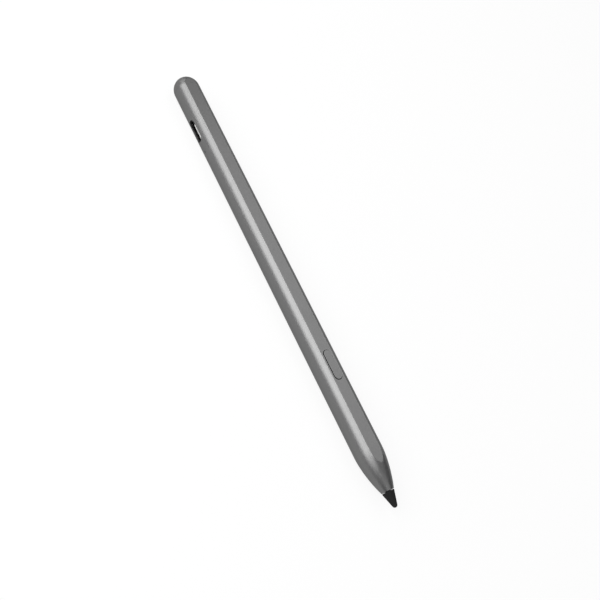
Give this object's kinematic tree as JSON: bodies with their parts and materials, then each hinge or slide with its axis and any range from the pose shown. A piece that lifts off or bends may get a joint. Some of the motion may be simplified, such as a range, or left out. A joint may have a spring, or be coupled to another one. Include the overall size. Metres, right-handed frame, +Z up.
{
  "type": "stylus pen",
  "caption": "Tablet stylus with a round barrel, a long magnetic flat, a low side button, a charging socket with an indicator light, and a sprung conical nib that pulls out",
  "frame": {"origin": "On the surface the pen lies on, under the middle of its length", "axes": "+X runs along the pen to the writing tip, +Z is up out of the long flat, and the charging socket faces -Y"},
  "size_m": [0.165, 0.0094, 0.0092],
  "materials": {
    "body_paint": "satin metallic grey paint on moulded plastic",
    "cap_paint": "the barrel's satin metallic paint on a moulded cap",
    "button_paint": "the barrel's satin metallic paint on a moulded key",
    "chassis_plastic": "dark glass-filled plastic with a spark-eroded grain",
    "circuit_board": "green solder mask over glass laminate",
    "socket_steel": "drawn steel with black nickel plate",
    "socket_insulator": "natural pale moulded resin",
    "contact_gold": "gold flash on copper alloy",
    "lamp_resin": "cast resin",
    "smoked_clear": "smoked clear plastic",
    "aerial_ceramic": "fired white ceramic",
    "chip_resin": "moulded black resin",
    "cell_can": "drawn can with a rolled crimp",
    "lead_insulation": "extruded soft insulation",
    "magnet_nickel": "nickel plate",
    "screw_steel": "zinc-plated steel",
    "flex_film": "amber film over copper tracks",
    "switch_plastic": "black heat-proof plastic",
    "spring_steel": "drawn and rolled stainless spring steel",
    "electrode_copper": "rolled copper foil",
    "sensor_disc": "laminated sensor film on a disc",
    "carrier_plastic": "natural low-friction plastic",
    "grip_brass": "rolled spring brass",
    "pad_rubber": "moulded silicone rubber",
    "bush_plastic": "black low-friction plastic",
    "nib_plastic": "black hard-wearing plastic with a fine matt skin",
    "core_carbon": "carbon-loaded plastic rod"
  },
  "bodies": {
    "pen_body": {"barrel": "body_paint", "rear_cap": "cap_paint", "chassis": "chassis_plastic", "charge_board": "circuit_board", "port_shell": "socket_steel", "port_tongue": "socket_insulator", "port_contacts": "contact_gold", "indicator_led": "lamp_resin", "light_pipe": "smoked_clear", "antenna": "aerial_ceramic", "charge_chips": "chip_resin", "battery_cell": "cell_can", "protection_board": "circuit_board", "battery_leads": "lead_insulation", "magnet_tray": "chassis_plastic", "magnets": "magnet_nickel", "main_board": "circuit_board", "main_chips": "chip_resin", "board_screws": "screw_steel", "link_flex": "flex_film", "sensor_flex": "flex_film", "switch_body": "switch_plastic", "switch_dome": "spring_steel", "sensor_housing": "chassis_plastic", "tilt_electrode": "electrode_copper", "pressure_sensor": "sensor_disc", "spring_washer": "spring_steel", "return_spring": "spring_steel", "guide_bush": "bush_plastic"},
    "side_button": {"button_cap": "button_paint", "switch_plunger": "switch_plastic"},
    "nib_carrier": {"nib_holder": "carrier_plastic", "nib_grip": "grip_brass", "pressure_pad": "pad_rubber"},
    "writing_nib": {"nib": "nib_plastic", "nib_core": "core_carbon"}
  },
  "joints": [
    {"name": "button_press", "type": "slide", "parent": "pen_body", "child": "side_button", "axis": [0, 0, -1], "range_m": [0, 0.0002], "stiffness_N_per_m": 6000, "deforming": ["switch_dome"]},
    {"name": "tip_press", "type": "slide", "parent": "pen_body", "child": "nib_carrier", "axis": [-1, 0, 0], "range_m": [0, 0.00015], "stiffness_N_per_m": 4000, "deforming": ["return_spring"]},
    {"name": "nib_pull", "type": "slide", "parent": "nib_carrier", "child": "writing_nib", "axis": [1, 0, 0], "range_m": [0, 0.013]}
  ]
}
